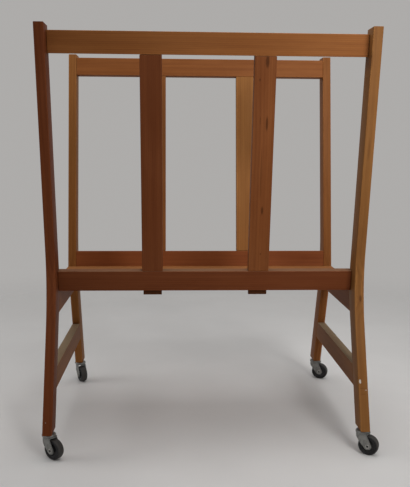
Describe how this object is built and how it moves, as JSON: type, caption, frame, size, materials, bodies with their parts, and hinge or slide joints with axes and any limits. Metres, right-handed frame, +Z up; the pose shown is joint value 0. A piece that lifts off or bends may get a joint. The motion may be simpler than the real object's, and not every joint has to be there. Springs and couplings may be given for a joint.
{
  "type": "print rack",
  "caption": "Wooden rack for framed prints: outward-leaning slatted panels above a flat shelf, on splayed legs with swivel castors.",
  "frame": {"origin": "centre of the shelf's top face, midway between the panels and between the posts", "axes": "+Z up, +X along the rack to the viewer's right, +Y to the rear; the front panel is at -Y"},
  "size_m": [0.7509, 0.5761, 0.9323],
  "materials": {
    "post_wood": "satin clear finish on warm reddish brown timber",
    "rail_wood": "satin clear finish on warm reddish brown timber",
    "slat_wood": "satin clear finish on warm reddish brown timber with darker streaks",
    "cross_wood": "satin clear finish, a little dusty on top",
    "shelf_wood": "satin clear finish, lighter brown",
    "zinc_steel": "dull zinc plate",
    "bright_steel": "plain steel",
    "wheel_plastic": "moulded dark grey",
    "tyre_rubber": "near black, lightly dusty"
  },
  "bodies": {
    "frame": {"post_front_left": "post_wood", "post_front_right": "post_wood", "post_rear_left": "post_wood", "post_rear_right": "post_wood", "top_rail_front": "rail_wood", "top_rail_rear": "rail_wood", "lower_rail_front": "rail_wood", "lower_rail_rear": "rail_wood", "slat_front_left": "slat_wood", "slat_front_right": "slat_wood", "slat_rear_left": "slat_wood", "slat_rear_right": "slat_wood", "cross_rail_left": "cross_wood", "cross_rail_right": "cross_wood", "stretcher_left": "cross_wood", "stretcher_right": "cross_wood", "shelf": "shelf_wood", "shelf_screw_left_1": "bright_steel", "shelf_screw_left_2": "bright_steel", "shelf_screw_left_3": "bright_steel", "shelf_screw_right_1": "bright_steel", "shelf_screw_right_2": "bright_steel", "shelf_screw_right_3": "bright_steel", "socket_front_left": "zinc_steel", "socket_front_right": "zinc_steel", "socket_rear_left": "zinc_steel", "socket_rear_right": "zinc_steel", "stem_front_left": "bright_steel", "stem_front_right": "bright_steel", "stem_rear_left": "bright_steel", "stem_rear_right": "bright_steel", "race_cap_front_left": "zinc_steel", "race_cap_front_right": "zinc_steel", "race_cap_rear_left": "zinc_steel", "race_cap_rear_right": "zinc_steel", "ball_ring_front_left": "bright_steel", "ball_ring_front_right": "bright_steel", "ball_ring_rear_left": "bright_steel", "ball_ring_rear_right": "bright_steel"},
    "castor_front_left": {"fork_front_left": "zinc_steel", "axle_front_left": "bright_steel"},
    "castor_front_right": {"fork_front_right": "zinc_steel", "axle_front_right": "bright_steel"},
    "castor_rear_left": {"fork_rear_left": "zinc_steel", "axle_rear_left": "bright_steel"},
    "castor_rear_right": {"fork_rear_right": "zinc_steel", "axle_rear_right": "bright_steel"},
    "roller_front_left": {"wheel_front_left": "wheel_plastic", "tyre_front_left": "tyre_rubber"},
    "roller_front_right": {"wheel_front_right": "wheel_plastic", "tyre_front_right": "tyre_rubber"},
    "roller_rear_left": {"wheel_rear_left": "wheel_plastic", "tyre_rear_left": "tyre_rubber"},
    "roller_rear_right": {"wheel_rear_right": "wheel_plastic", "tyre_rear_right": "tyre_rubber"}
  },
  "joints": [
    {"name": "swivel_front_left", "type": "hinge", "parent": "frame", "child": "castor_front_left", "pos_m": [-0.3495, -0.26252, -0.302], "axis": [0, 0, 1], "continuous": true},
    {"name": "swivel_front_right", "type": "hinge", "parent": "frame", "child": "castor_front_right", "pos_m": [0.3495, -0.26252, -0.302], "axis": [0, 0, 1], "continuous": true},
    {"name": "swivel_rear_left", "type": "hinge", "parent": "frame", "child": "castor_rear_left", "pos_m": [-0.3495, 0.26252, -0.302], "axis": [0, 0, 1], "continuous": true},
    {"name": "swivel_rear_right", "type": "hinge", "parent": "frame", "child": "castor_rear_right", "pos_m": [0.3495, 0.26252, -0.302], "axis": [0, 0, 1], "continuous": true},
    {"name": "roll_front_left", "type": "hinge", "parent": "castor_front_left", "child": "roller_front_left", "pos_m": [-0.33748, -0.27063, -0.3385], "axis": [0.5592, 0.829, 0], "continuous": true},
    {"name": "roll_front_right", "type": "hinge", "parent": "castor_front_right", "child": "roller_front_right", "pos_m": [0.36218, -0.26955, -0.3385], "axis": [0.4848, 0.8746, 0], "continuous": true},
    {"name": "roll_rear_left", "type": "hinge", "parent": "castor_rear_left", "child": "roller_rear_left", "pos_m": [-0.34269, 0.24971, -0.3385], "axis": [0.8829, 0.4695, 0], "continuous": true},
    {"name": "roll_rear_right", "type": "hinge", "parent": "castor_rear_right", "child": "roller_rear_right", "pos_m": [0.36275, 0.25662, -0.3385], "axis": [0.4067, 0.9135, 0], "continuous": true}
  ]
}
